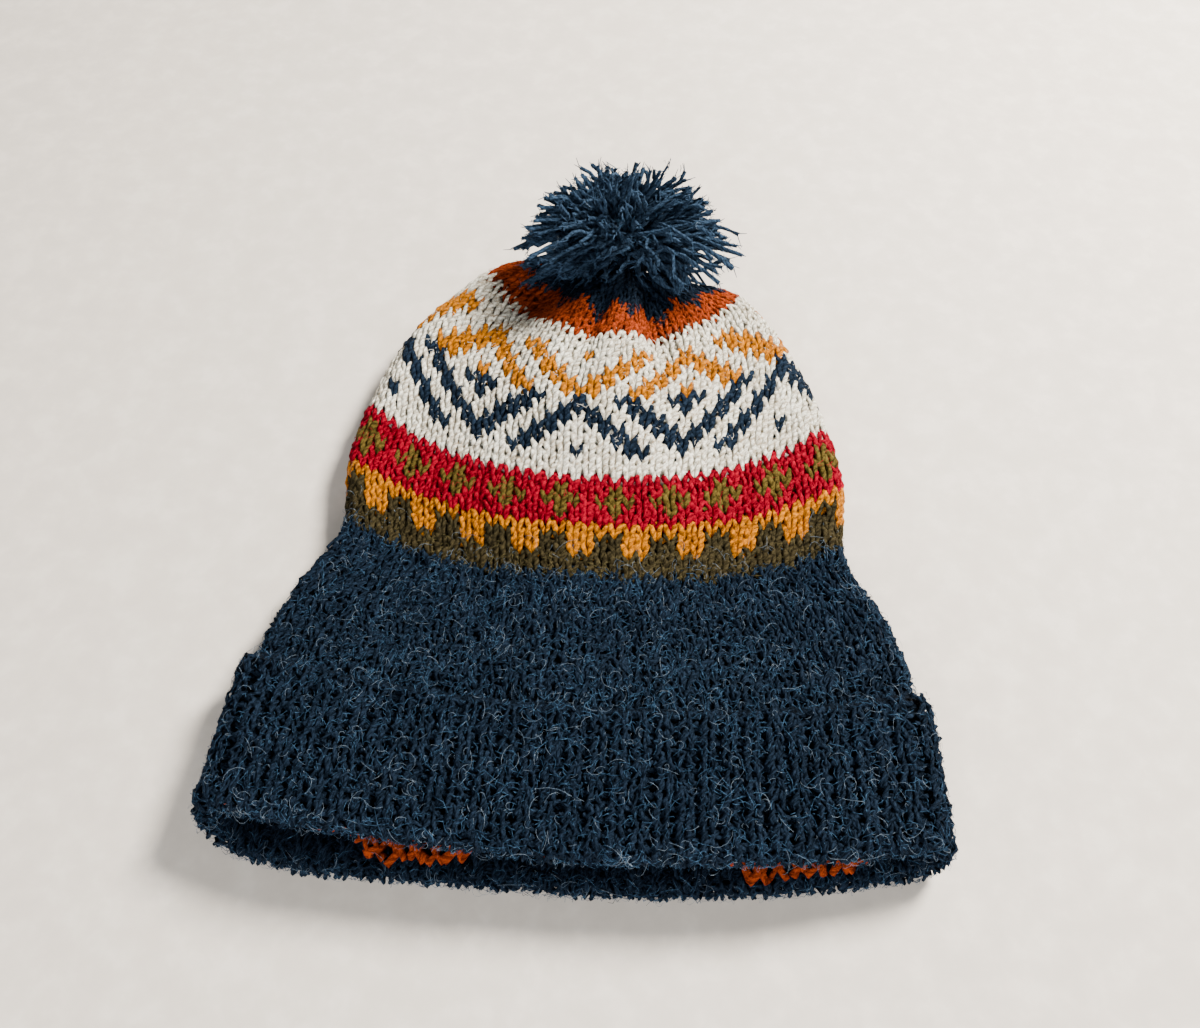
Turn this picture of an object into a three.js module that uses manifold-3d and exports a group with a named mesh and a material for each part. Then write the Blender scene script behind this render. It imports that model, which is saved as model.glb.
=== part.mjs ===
// Bobble hat: a knitted hat with a turned-up ribbed cuff, an inner facing at the mouth and a pompom.
// It lies on its back on a flat surface: +X across it, +Y from the mouth to the pompom, +Z up.
import * as THREE from 'three';
import Module from 'manifold-3d';
import { mergeVertices } from 'three/addons/utils/BufferGeometryUtils.js';

// Driving sizes, in millimetres
const bodyLength = 249;
const bodyWidth = 244;
const loft = 42;
const sideRadius = 9;
const bodyWall = 3.5;
const cuffWall = 4;
const cuffDepth = 48;
const foldDepth = 4;
const ribCount = 68;
const ribDepth = 1.2;
const noseRibDepth = 0.7;
const hemRound = 2.2;
const liningWall = 2.4;
const liningSetback = 9;
const liningDepth = 42;
const gatherDepth = 6.5;
const tipWall = 6;
const clearance = 0.4;
const aboveCuff = 5;
const pompomRadius = 47;
const pompomStandoff = 3;
const pompomTilt = 30;
const pompomSpread = 105;
const coreRadius = 27;
const coreShift = 13;
const lockRadius = 6.8;
const lockTipRadius = 5.6;
const lockScatter = 3;
const lockCount = 96;

// Share of the knitted rows that the cuff covers
const cuffShare = cuffDepth / bodyLength;

// Rows of a table as objects, with a key for each of its named columns
function table(columns, rows) {
  return rows.map((row) => Object.fromEntries(columns.map((column, i) => [column, row[i]])));
}

// Sections of the body from the mouth fold to the crown's tip.
// at: share of the knitted rows. along, bow: shares of bodyLength, where bow is how far the sides
// of a row lie beyond its middle. half: share of half the bodyWidth. lean: share of loft, how far
// the back of a row lies beyond its front. side: share of bodyWidth, off the middle line.
// skew: share of bodyLength, how far the left side of a row lies beyond its middle.
// slip: share of loft, how far the left of the back lies nearer to the mouth at most.
// top: share of loft. base: share of loft. raise: share of the cuff's thickness below the body.
// edge: share of sideRadius.
const sections = table(
  ['name', 'at', 'along', 'bow', 'half', 'side', 'top', 'base', 'raise', 'edge', 'lean', 'skew', 'slip'],
  [
    ['fold', 0, -0.014, 0.06, 1.04, 0, 0.62, 0, 1, 1, -0.13, 0, 0.165],
    ['cuff_top', cuffShare, cuffShare, 0.068, 1, 0, 0.655, 0, 1, 1, 0, 0, 0],
    ['above_cuff', 0.3, 0.3, 0.084, 0.95, -0.001, 0.66, 0, 0, 0.95, 0, 0, 0],
    ['waist', 0.414, 0.414, 0.112, 0.82, -0.006, 0.69, 0, 0, 0.9, 0, 0, 0],
    ['red_band', 0.494, 0.494, 0.141, 0.84, -0.011, 0.74, 0, 0, 0.95, 0.05, 0, 0],
    ['cream_band', 0.574, 0.574, 0.169, 0.803, -0.015, 0.81, 0, 0, 1, 0.1, 0, 0],
    ['cream_middle', 0.707, 0.707, 0.187, 0.695, -0.018, 0.93, 0, 0, 1.15, 0.14, 0.004, 0],
    ['rust_band', 0.831, 0.831, 0.189, 0.515, -0.008, 1, 0.02, 0, 1.3, 0.19, 0.012, 0],
    ['crown_rim', 0.895, 0.904, 0.145, 0.385, 0.003, 1, 0.1, 0, 1.3, 0.19, 0.02, 0],
    ['crown_end', 0.955, 0.972, 0.07, 0.225, 0.011, 0.93, 0.27, 0, 1.1, 0.1, 0.015, 0],
    ['tip', 1, 1.024, 0.012, 0.07, 0.016, 0.83, 0.55, 0, 0.5, 0, 0, 0],
  ]
);

// Valleys that the drawn-up crown makes. round: share of the way round, from the middle of the
// back over the right side. wide: share of the way round. deep: share of gatherDepth.
const gathers = table(
  ['name', 'round', 'wide', 'deep'],
  [
    ['front_left', 0.53, 0.026, 1],
    ['front_right', 0.412, 0.026, 0.95],
    ['left_shoulder', 0.652, 0.032, 0.8],
    ['right_shoulder', 0.3, 0.032, 0.85],
    ['left_side', 0.775, 0.03, 0.6],
    ['right_side', 0.185, 0.03, 0.6],
    ['back_left', 0.92, 0.035, 0.4],
    ['back_right', 0.06, 0.035, 0.4],
  ]
);

// Soft dents and swellings of the upper side. at, round: place as above. long, wide: reach as
// shares of the rows and of the way round. out: share of loft, outwards when positive.
const dents = table(
  ['name', 'at', 'round', 'long', 'wide', 'out'],
  [
    ['mouth_lift_left', 0, 0.655, 0.16, 0.06, 0.1],
    ['mouth_sag_middle', 0, 0.49, 0.13, 0.07, -0.07],
    ['mouth_lift_right', 0, 0.355, 0.13, 0.05, 0.05],
    ['slump_above_cuff', 0.3, 0.5, 0.07, 0.17, -0.035],
    ['fold_above_cuff', 0.245, 0.47, 0.04, 0.14, 0.05],
    ['waist_hollow_left', 0.4, 0.6, 0.08, 0.05, -0.05],
    ['waist_hollow_right', 0.4, 0.39, 0.07, 0.05, -0.045],
    ['swelling_left', 0.54, 0.6, 0.09, 0.06, 0.05],
    ['swelling_right', 0.55, 0.4, 0.09, 0.06, 0.04],
  ]
);

// Where the gathers start, and where they reach their full depth, as shares of the rows
const gatherStart = 0.7;
const gatherFull = 0.88;

// The most of half a ring that its side radius takes up
const sideShare = 0.95;

// Where the slip is greatest, to the left of the middle, and its reach, as shares of half a row
const slipPlace = 0.84;
const slipReach = 0.38;

// Reach of the numerical slopes, as a share of the rows and of the way round
const slopeStep = 1e-4;

const smoothstep = (low, high, value) => THREE.MathUtils.smoothstep(value, low, high);
const bell = (distance) => Math.exp(-distance * distance);
const roundDistance = (a, b) => Math.abs(((a - b + 1.5) % 1) - 0.5);

// The columns that shape a section, past its name and its place
const shapeColumns = Object.keys(sections[0]).slice(2);

// Slope of a column at one section, level where the column turns, so that no curve overshoots
function columnSlope(column, i) {
  const slope = (j) => {
    const [from, to] = [sections[j], sections[j + 1]];
    return (to[column] - from[column]) / (to.at - from.at);
  };
  const before = slope(Math.max(i - 1, 0));
  const after = slope(Math.min(i, sections.length - 2));
  return before * after > 0 ? (2 * before * after) / (before + after) : 0;
}

// One section at any share of the rows: each column runs as a smooth curve through the table
function sectionAt(at) {
  const above = sections.findIndex((section) => section.at > at);
  const i = above < 0 ? sections.length - 2 : Math.max(above - 1, 0);
  const [from, to] = [sections[i], sections[i + 1]];
  const span = to.at - from.at;
  const s = THREE.MathUtils.clamp((at - from.at) / span, 0, 1);
  const section = {};
  for (const column of shapeColumns) {
    const start = span * columnSlope(column, i);
    const end = span * columnSlope(column, i + 1);
    const rise = to[column] - from[column];
    const curve = 3 * rise - 2 * start - end + s * (start + end - 2 * rise);
    section[column] = from[column] + s * (start + s * curve);
  }
  section.along += Math.min(at, 0);
  return section;
}

// How far gathers and dents move the wall outwards
function relief(at, round) {
  let out = 0;
  const gathered = smoothstep(gatherStart, gatherFull, at) * (1 - smoothstep(gatherFull, 1, at));
  for (const gather of gathers) {
    const valley = bell(roundDistance(round, gather.round) / gather.wide);
    out -= gatherDepth * gather.deep * gathered * valley;
  }
  for (const dent of dents) {
    out += loft * dent.out * bell((at - dent.at) / dent.long) * bell((round - dent.round) / dent.wide);
  }
  return out;
}

// Point of the body's outer face before gathers and dents: a ring with a flat back, round sides
// and a domed front, measured off evenly along its length
function ringPoint(at, round) {
  const section = sectionAt(at);
  const half = (section.half * bodyWidth) / 2;
  const base = section.base * loft + section.raise * (cuffWall + clearance);
  const top = section.top * loft + section.raise * (cuffWall + clearance) / 2;
  const radius = Math.min(section.edge * sideRadius, sideShare * half, (top - base) / 2);
  const flat = half - radius;
  const dome = top - base - 2 * radius;
  const side = Math.PI * radius;
  const front = Math.hypot(flat, dome);
  const mirror = round > 0.5 ? -1 : 1;
  const way = 2 * Math.min(round, 1 - round) * (flat + side + front);
  let x = way;
  let z = base;
  if (way > flat + side) {
    const share = (way - flat - side) / front;
    x = flat * (1 - share);
    z = base + 2 * radius + dome * Math.sin((Math.PI * share) / 2) ** 2;
  } else if (way > flat) {
    const turn = (way - flat) / radius;
    x = flat + radius * Math.sin(turn);
    z = base + radius * (1 - Math.cos(turn));
  }
  const back = 1 - (z - base) / (top - base);
  const across = (mirror * x) / half;
  const row = section.along + section.bow * across ** 2 - section.skew * across;
  const slip = section.slip * bell((across + slipPlace) / slipReach);
  const y = bodyLength * row + loft * (section.lean - slip) * back;
  return new THREE.Vector3(section.side * bodyWidth + mirror * x, y, z);
}

// Outward direction of a surface function at one place
function outward(surface, at, round) {
  const alongRows = surface(at + slopeStep, round).sub(surface(at - slopeStep, round));
  const wrapped = (value) => (value + 1) % 1;
  const acrossRows = surface(at, wrapped(round + slopeStep)).sub(surface(at, wrapped(round - slopeStep)));
  return alongRows.cross(acrossRows).normalize();
}

function bodyPoint(at, round) {
  return ringPoint(at, round).addScaledVector(outward(ringPoint, at, round), relief(at, round));
}

// Point at a distance out from the body's outer face
function layerPoint(at, round, out) {
  const inside = Math.min(at, 1 - 2 * slopeStep);
  return bodyPoint(at, round).addScaledVector(outward(bodyPoint, inside, round), out);
}

// Closed solid from rings of points, each ring joined to the next. Rings that don't close on
// themselves end in a point at each end.
function ringSolid(rings, loop) {
  const count = rings[0].length;
  const positions = rings.flat().flatMap((point) => point.toArray());
  const faces = [];
  const last = loop ? rings.length : rings.length - 1;
  for (let i = 0; i < last; i += 1) {
    for (let j = 0; j < count; j += 1) {
      const [a, b] = [i * count + j, i * count + ((j + 1) % count)];
      const [c, d] = [a, b].map((index) => (index + count) % (rings.length * count));
      faces.push(a, d, b, a, c, d);
    }
  }
  if (!loop) {
    const ends = [[rings[0], 0, true], [rings.at(-1), (rings.length - 1) * count, false]];
    for (const [end, start, flip] of ends) {
      const middle = end.reduce((sum, point) => sum.add(point), new THREE.Vector3()).divideScalar(count);
      const centre = positions.length / 3;
      positions.push(...middle.toArray());
      for (let j = 0; j < count; j += 1) {
        const [a, b] = [start + j, start + ((j + 1) % count)];
        faces.push(...(flip ? [a, b, centre] : [b, a, centre]));
      }
    }
  }
  const geometry = new THREE.BufferGeometry();
  geometry.setAttribute('position', new THREE.Float32BufferAttribute(positions, 3));
  geometry.setIndex(faces);
  return geometry;
}

function ring(at, out, count) {
  return Array.from({ length: count }, (_, j) => layerPoint(at, j / count, out));
}

// Evenly spread numbers, both ends among them
function spread(from, to, steps) {
  return Array.from({ length: steps + 1 }, (_, i) => from + ((to - from) * i) / steps);
}

// Body: outer face from the fold to the tip, inner face back to the fold
const bodyStart = (foldDepth + clearance) / bodyLength;
const innerEnd = 1 - (bodyWall + tipWall) / bodyLength;
const cuffRows = spread(bodyStart, (cuffDepth - hemRound) / bodyLength, 3);
const waistRow = 0.41;
const freeStart = cuffShare + aboveCuff / bodyLength;
const outerRows = [...cuffRows, ...spread(freeStart, waistRow, 3), ...spread(waistRow, 1, 12).slice(1)];
const liningEnd = liningSetback + liningDepth;
const liningRows = spread(liningSetback, liningEnd, 2).map((length) => length / bodyLength);
const upperRows = [...spread(cuffShare, waistRow, 2), ...spread(waistRow, innerEnd, 7).slice(1)];
const innerRows = [bodyStart, ...liningRows, ...upperRows].sort((a, b) => a - b);

function makeBody() {
  const inner = innerRows.toReversed().map((at) => ring(at, -bodyWall, ribCount));
  const outer = outerRows.map((at) => ring(at, 0, ribCount));
  return ringSolid([...inner, ...outer], false);
}

// Cuff: a section swept round the mouth, from the fold's inner side round its nose, up the ribbed
// outer face and down the face that lies against the body. length: millimetres from the fold.
// out: millimetres out from the body. groove: depth of the valley between two ribs.
function makeCuff() {
  const outerFace = clearance + cuffWall;
  const middle = (outerFace - bodyWall) / 2;
  const nose = spread(0, Math.PI, 3).map((turn) => ({
    length: foldDepth * (1 - Math.sin(turn)),
    out: middle - (middle + bodyWall) * Math.cos(turn),
    groove: turn > Math.PI / 2 ? noseRibDepth : 0,
  }));
  const faceLengths = spread(foldDepth, cuffDepth - hemRound, 2).slice(1);
  const face = faceLengths.map((length) => ({ length, out: outerFace, groove: ribDepth }));
  const section = [
    ...nose,
    ...face,
    { length: cuffDepth, out: outerFace - hemRound, groove: noseRibDepth },
    { length: cuffDepth, out: clearance + hemRound / 2, groove: 0 },
    ...cuffRows.toReversed().map((at) => ({ length: at * bodyLength, out: clearance, groove: 0 })),
    { length: foldDepth, out: clearance, groove: 0 },
  ];
  const rings = section.map(({ length, out, groove }) =>
    Array.from({ length: 2 * ribCount }, (_, j) => {
      const depth = j % 2 ? groove : 0;
      const point = layerPoint(length / bodyLength, j / (2 * ribCount), out - depth);
      point.z = Math.max(point.z, 0);
      return point;
    })
  );
  return ringSolid(rings, true);
}

// Lining: a band against the body's inner face, with its edge set back from the fold
function makeLining() {
  const outerFace = -bodyWall - clearance;
  const innerFace = outerFace - liningWall;
  const inner = liningRows.toReversed().map((at) => ring(at, innerFace, ribCount));
  const outer = liningRows.map((at) => ring(at, outerFace, ribCount));
  return ringSolid([...inner, ...outer], true);
}

// Closed mesh to a solid that can be joined and cut, and back
const wasm = await Module();
wasm.setup();

function toSolid(geometry) {
  const bare = geometry.index ? geometry.clone() : mergeVertices(geometry.clone());
  bare.deleteAttribute('normal');
  bare.deleteAttribute('uv');
  const merged = mergeVertices(bare, 1e-4);
  const vertProperties = new Float32Array(merged.attributes.position.array);
  const triVerts = new Uint32Array(merged.index.array);
  return new wasm.Manifold(new wasm.Mesh({ numProp: 3, vertProperties, triVerts }));
}

function toGeometry(solid) {
  const mesh = solid.getMesh();
  const geometry = new THREE.BufferGeometry();
  geometry.setAttribute('position', new THREE.BufferAttribute(mesh.vertProperties, 3));
  geometry.setIndex(new THREE.BufferAttribute(mesh.triVerts, 1));
  return geometry;
}

// Pompom: blunt locks fused to a core. They fan out from the knot at the crown's tip, away from
// the crown, and are trimmed flat where the pompom rests and clear of the crown where it would
// reach through. Their directions spread evenly over a sphere, each a little longer or shorter
// than the last, and only those within pompomSpread degrees of the fan's axis are there.
const goldenAngle = Math.PI * (3 - Math.sqrt(5));
const lockSides = 4;
const lengthTurns = 7;

function makePompom() {
  const tilt = THREE.MathUtils.degToRad(pompomTilt);
  const axis = new THREE.Vector3(0, Math.cos(tilt), Math.sin(tilt));
  const tip = ringPoint(1, 0.5).add(ringPoint(1, 0)).divideScalar(2);
  const knot = tip.addScaledVector(axis, pompomStandoff);
  const core = knot.clone().addScaledVector(axis, coreShift);
  let solid = toSolid(new THREE.IcosahedronGeometry(coreRadius, 1).translate(...core.toArray()));
  for (let i = 0; i < lockCount; i += 1) {
    const height = 1 - (2 * i + 1) / lockCount;
    const reach = Math.sqrt(1 - height * height);
    const turn = i * goldenAngle;
    const direction = new THREE.Vector3(reach * Math.cos(turn), reach * Math.sin(turn), height);
    if (direction.angleTo(axis) < THREE.MathUtils.degToRad(pompomSpread)) {
      const length = pompomRadius + lockScatter * Math.sin(i * lengthTurns);
      const lock = new THREE.CylinderGeometry(lockTipRadius, lockRadius, length, lockSides, 1);
      lock.translate(0, length / 2, 0);
      lock.applyQuaternion(new THREE.Quaternion().setFromUnitVectors(THREE.Object3D.DEFAULT_UP, direction));
      lock.translate(...knot.toArray());
      solid = solid.add(toSolid(lock));
    }
  }
  const room = 4 * pompomRadius;
  const ground = new THREE.BoxGeometry(room, room, room).translate(knot.x, knot.y, -room / 2);
  const crown = ringSolid(outerRows.map((at) => ring(at, at > bodyStart ? clearance : 0, ribCount)), false);
  const trimmed = solid.subtract(toSolid(ground)).subtract(toSolid(crown));
  const [whole] = trimmed.decompose().sort((a, b) => b.volume() - a.volume());
  return toGeometry(whole);
}

// Colours, roughness and metalness of each piece
const finishes = {
  body: { color: 0x1f3b56, roughness: 0.95, metalness: 0 },
  cuff: { color: 0x1b3550, roughness: 0.95, metalness: 0 },
  lining: { color: 0xb5501e, roughness: 0.95, metalness: 0 },
  pompom: { color: 0x16304a, roughness: 0.9, metalness: 0 },
};

const makers = { body: makeBody, cuff: makeCuff, lining: makeLining, pompom: makePompom };
const hat = new THREE.Group();
for (const [name, make] of Object.entries(makers)) {
  const mesh = new THREE.Mesh(make(), new THREE.MeshStandardMaterial(finishes[name]));
  mesh.name = name;
  hat.add(mesh);
}

// The origin is the middle of the bounding box's bottom
const box = new THREE.Box3().setFromObject(hat);
const middle = box.getCenter(new THREE.Vector3());
hat.position.set(-middle.x, -middle.y, -box.min.z);

export default hat;
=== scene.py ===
import math

import bpy
import numpy as np
from mathutils import Matrix, Vector


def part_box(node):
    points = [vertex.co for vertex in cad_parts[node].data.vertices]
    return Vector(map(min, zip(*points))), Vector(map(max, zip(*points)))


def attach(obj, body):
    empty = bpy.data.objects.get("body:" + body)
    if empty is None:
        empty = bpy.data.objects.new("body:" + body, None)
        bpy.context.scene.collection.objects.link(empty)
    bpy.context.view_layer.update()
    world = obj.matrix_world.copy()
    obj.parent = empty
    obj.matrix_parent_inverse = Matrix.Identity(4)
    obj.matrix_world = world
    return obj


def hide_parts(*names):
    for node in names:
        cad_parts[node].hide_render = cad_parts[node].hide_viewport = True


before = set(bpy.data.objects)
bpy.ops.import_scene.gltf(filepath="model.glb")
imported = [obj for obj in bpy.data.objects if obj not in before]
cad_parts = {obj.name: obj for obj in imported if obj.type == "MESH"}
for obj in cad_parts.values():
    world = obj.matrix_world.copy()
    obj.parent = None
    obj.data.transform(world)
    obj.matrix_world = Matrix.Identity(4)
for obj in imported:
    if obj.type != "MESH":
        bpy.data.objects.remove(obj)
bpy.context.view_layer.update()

# Sizes of the solids, in millimetres
MM = 0.001
BODY_LENGTH = 249.0
BODY_WIDTH = 244.0
LOFT = 42.0
SIDE_RADIUS = 9.0
BODY_WALL = 3.5
CUFF_WALL = 4.0
CUFF_DEPTH = 48.0
FOLD_DEPTH = 4.0
RIB_COUNT = 68
LINING_WALL = 2.4
LINING_SETBACK = 9.0
LINING_DEPTH = 42.0
GATHER_DEPTH = 6.5
GATHER_START = 0.7
GATHER_FULL = 0.88
CLEARANCE = 0.4
POMPOM_RADIUS = 47.0
POMPOM_STANDOFF = 3.0
POMPOM_TILT = math.radians(30.0)
POMPOM_SPREAD = math.radians(105.0)
SLIP_PLACE = 0.84
SLIP_REACH = 0.38
CUFF_SHARE = CUFF_DEPTH / BODY_LENGTH

# Sections of the body from the mouth fold to the crown's tip, with the solids' columns
SECTION_COLUMNS = (
    "at", "along", "bow", "half", "side", "top", "base", "raise", "edge", "lean", "skew", "slip",
)
SECTIONS = np.array([
    (0.0, -0.014, 0.06, 1.04, 0.0, 0.62, 0.0, 1.0, 1.0, -0.13, 0.0, 0.165),
    (CUFF_SHARE, CUFF_SHARE, 0.068, 1.0, 0.0, 0.655, 0.0, 1.0, 1.0, 0.0, 0.0, 0.0),
    (0.3, 0.3, 0.084, 0.95, -0.001, 0.66, 0.0, 0.0, 0.95, 0.0, 0.0, 0.0),
    (0.414, 0.414, 0.112, 0.82, -0.006, 0.69, 0.0, 0.0, 0.9, 0.0, 0.0, 0.0),
    (0.494, 0.494, 0.141, 0.84, -0.011, 0.74, 0.0, 0.0, 0.95, 0.05, 0.0, 0.0),
    (0.574, 0.574, 0.169, 0.803, -0.015, 0.81, 0.0, 0.0, 1.0, 0.1, 0.0, 0.0),
    (0.707, 0.707, 0.187, 0.695, -0.018, 0.93, 0.0, 0.0, 1.15, 0.14, 0.004, 0.0),
    (0.831, 0.831, 0.189, 0.515, -0.008, 1.0, 0.02, 0.0, 1.3, 0.19, 0.012, 0.0),
    (0.895, 0.904, 0.145, 0.385, 0.003, 1.0, 0.1, 0.0, 1.3, 0.19, 0.02, 0.0),
    (0.955, 0.972, 0.07, 0.225, 0.011, 0.93, 0.27, 0.0, 1.1, 0.1, 0.015, 0.0),
    (1.0, 1.024, 0.012, 0.07, 0.016, 0.83, 0.55, 0.0, 0.5, 0.0, 0.0, 0.0),
])

# Gathers (round, wide, deep) and dents (at, round, long, wide, out) of the solids
GATHERS = (
    (0.53, 0.026, 1.0), (0.412, 0.026, 0.95), (0.652, 0.032, 0.8), (0.3, 0.032, 0.85),
    (0.775, 0.03, 0.6), (0.185, 0.03, 0.6), (0.92, 0.035, 0.4), (0.06, 0.035, 0.4),
)
DENTS = (
    (0.0, 0.655, 0.16, 0.06, 0.1), (0.0, 0.49, 0.13, 0.07, -0.07), (0.0, 0.355, 0.13, 0.05, 0.05),
    (0.3, 0.5, 0.07, 0.17, -0.035), (0.245, 0.47, 0.04, 0.14, 0.05),
    (0.4, 0.6, 0.08, 0.05, -0.05), (0.4, 0.39, 0.07, 0.05, -0.045),
    (0.54, 0.6, 0.09, 0.06, 0.05), (0.55, 0.4, 0.09, 0.06, 0.04),
)

rng = np.random.default_rng(20)


# The hat's surface, as in the solids

def column_slopes(values, keys):
    steps = np.diff(values) / np.diff(keys)
    before = np.concatenate([steps[:1], steps])
    after = np.concatenate([steps, steps[-1:]])
    turning = before * after <= 0
    return np.where(turning, 0.0, 2 * before * after / np.where(turning, 1.0, before + after))


SLOPES = np.stack([column_slopes(SECTIONS[:, i], SECTIONS[:, 0]) for i in range(SECTIONS.shape[1])], 1)


def sections_at(at):
    """Each column of the section table at any shares of the rows."""
    keys = SECTIONS[:, 0]
    i = np.clip(np.searchsorted(keys, at, side="right") - 1, 0, len(keys) - 2)
    span = keys[i + 1] - keys[i]
    s = np.clip((at - keys[i]) / span, 0, 1)
    found = {}
    for column, name in enumerate(SECTION_COLUMNS):
        low, rise = SECTIONS[i, column], SECTIONS[i + 1, column] - SECTIONS[i, column]
        start, end = span * SLOPES[i, column], span * SLOPES[i + 1, column]
        found[name] = low + s * (start + s * (3 * rise - 2 * start - end + s * (start + end - 2 * rise)))
    found["along"] = found["along"] + np.minimum(at, 0)
    return found


def smoothstep(low, high, value):
    s = np.clip((value - low) / (high - low), 0, 1)
    return s * s * (3 - 2 * s)


def relief(at, around):
    gathered = smoothstep(GATHER_START, GATHER_FULL, at) * (1 - smoothstep(GATHER_FULL, 1, at))
    out = np.zeros_like(at)
    for place, wide, deep in GATHERS:
        distance = (around - place + 1.5) % 1 - 0.5
        out -= GATHER_DEPTH * deep * gathered * np.exp(-(distance / wide) ** 2)
    for row, place, long, wide, rise in DENTS:
        out += LOFT * rise * np.exp(-((at - row) / long) ** 2 - ((around - place) / wide) ** 2)
    return out


def ring_points(at, around):
    """Points of the outer face before gathers and dents."""
    s = sections_at(at)
    half = s["half"] * BODY_WIDTH / 2
    base = s["base"] * LOFT + s["raise"] * (CUFF_WALL + CLEARANCE)
    top = s["top"] * LOFT + s["raise"] * (CUFF_WALL + CLEARANCE) / 2
    radius = np.minimum(np.minimum(s["edge"] * SIDE_RADIUS, 0.95 * half), (top - base) / 2)
    flat = half - radius
    dome = top - base - 2 * radius
    side = math.pi * radius
    front = np.hypot(flat, dome)
    mirror = np.where(around > 0.5, -1, 1)
    way = 2 * np.minimum(around, 1 - around) * (flat + side + front)
    turn = np.clip((way - flat) / radius, 0, math.pi)
    share = np.clip((way - flat - side) / front, 0, 1)
    x = np.where(way < flat, way, flat + radius * np.sin(turn)) - flat * share
    z = base + radius * (1 - np.cos(turn)) + dome * np.sin(math.pi * share / 2) ** 2
    back = 1 - (z - base) / (top - base)
    across = mirror * x / half
    slip = s["slip"] * np.exp(-((across + SLIP_PLACE) / SLIP_REACH) ** 2)
    along = s["along"] + s["bow"] * across**2 - s["skew"] * across
    y = BODY_LENGTH * along + LOFT * (s["lean"] - slip) * back
    return np.stack([s["side"] * BODY_WIDTH + mirror * x, y, z], -1)


def unit(vectors):
    return vectors / np.maximum(np.linalg.norm(vectors, axis=-1, keepdims=True), 1e-9)


def outward(surface, at, around):
    step = 1e-4
    along = surface(at + step, around) - surface(at - step, around)
    across = surface(at, (around + step) % 1) - surface(at, (around - step + 1) % 1)
    return unit(np.cross(along, across))


def body_points(at, around):
    return ring_points(at, around) + relief(at, around)[..., None] * outward(ring_points, at, around)


# The surface and its outward directions once on a fine grid, which every piece reads. It begins
# a little past the fold, where the cuff turns, and ends just short of the tip.
GRID_AT = np.linspace(-0.03, 0.9998, 420)
GRID_ROUND = np.linspace(0, 1, 961)[:-1]
grid_at, grid_round = np.meshgrid(GRID_AT, GRID_ROUND, indexing="ij")
GRID_POINTS = body_points(grid_at, grid_round)
GRID_NORMALS = outward(body_points, grid_at, grid_round)

# From the construction's own origin to the solids' frame: both know the body's box
body_low, body_high = (np.array(corner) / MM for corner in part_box("body"))
past_fold = grid_at[:, 0] > (FOLD_DEPTH + CLEARANCE) / BODY_LENGTH
own_low = GRID_POINTS[past_fold].reshape(-1, 3).min(0)
own_high = GRID_POINTS[past_fold].reshape(-1, 3).max(0)
SHIFT = (body_low + body_high - own_low - own_high) / 2
SHIFT[2] = body_low[2] - own_low[2]


FLOOR_GAP = 0.05


def above_floor(points, gap=FLOOR_GAP):
    """The same points, raised where they would lie lower than the gap over the floor."""
    points[..., 2] = np.maximum(points[..., 2], gap)
    return points


def place(at, around, out):
    """Points of the hat: share of the rows, share of the way round, millimetres outwards."""
    i = np.clip(np.interp(at, GRID_AT, np.arange(len(GRID_AT))), 0, len(GRID_AT) - 1.001)
    j = (around % 1) * len(GRID_ROUND)
    low_i, low_j = i.astype(int), j.astype(int) % len(GRID_ROUND)
    high_j = (low_j + 1) % len(GRID_ROUND)
    si, sj = (i - low_i)[..., None], (j - np.floor(j))[..., None]

    def read(grid):
        low = grid[low_i, low_j] * (1 - sj) + grid[low_i, high_j] * sj
        high = grid[low_i + 1, low_j] * (1 - sj) + grid[low_i + 1, high_j] * sj
        return low * (1 - si) + high * si

    return above_floor(read(GRID_POINTS) + np.asarray(out)[..., None] * unit(read(GRID_NORMALS)) + SHIFT)


# Mesh makers

def make_object(name, points, faces, material):
    """A mesh object from points in millimetres and an array of faces with as many corners each."""
    mesh = bpy.data.meshes.new(name)
    corners = faces.shape[1]
    mesh.vertices.add(len(points))
    mesh.vertices.foreach_set("co", (points * MM).astype(np.float32).ravel())
    mesh.loops.add(faces.size)
    mesh.loops.foreach_set("vertex_index", faces.astype(np.int32).ravel())
    mesh.polygons.add(len(faces))
    mesh.polygons.foreach_set("loop_start", np.arange(0, faces.size, corners, dtype=np.int32))
    mesh.polygons.foreach_set("loop_total", np.full(len(faces), corners, dtype=np.int32))
    mesh.polygons.foreach_set("use_smooth", np.ones(len(faces), dtype=bool))
    mesh.update(calc_edges=True)
    mesh.materials.append(material)
    thing = bpy.data.objects.new(name, mesh)
    bpy.context.scene.collection.objects.link(thing)
    return thing


def tube_faces(tubes, rings, sides, closed=False):
    """Quads of many tubes whose points come ring by ring."""
    ring = np.arange(rings if closed else rings - 1)[:, None]
    side = np.arange(sides)[None, :]
    after, beside = (ring + 1) % rings, (side + 1) % sides
    near, far = ring * sides, after * sides
    quad = np.stack([near + side, near + beside, far + beside, far + side], -1)
    offsets = np.arange(tubes)[:, None, None] * rings * sides
    return (quad.reshape(1, -1, 4) + offsets).reshape(-1, 4)


def lengths_along(path):
    """Millimetres along each path to its rings."""
    steps = np.linalg.norm(np.diff(path, axis=1), axis=-1)
    return np.concatenate([np.zeros((len(path), 1)), np.cumsum(steps, 1)], 1)


def path_frame(path, up):
    """Directions across each path and towards up, at right angles to it."""
    tangent = unit(np.gradient(path, axis=1))
    across = unit(np.cross(tangent, up))
    return across, np.cross(across, tangent)


# Millimetres in which a yarn's plies turn once, and over which the yarns' starts are scattered
TWIST_PITCH = 6.0
STRAND_SPREAD = 200.0


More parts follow.
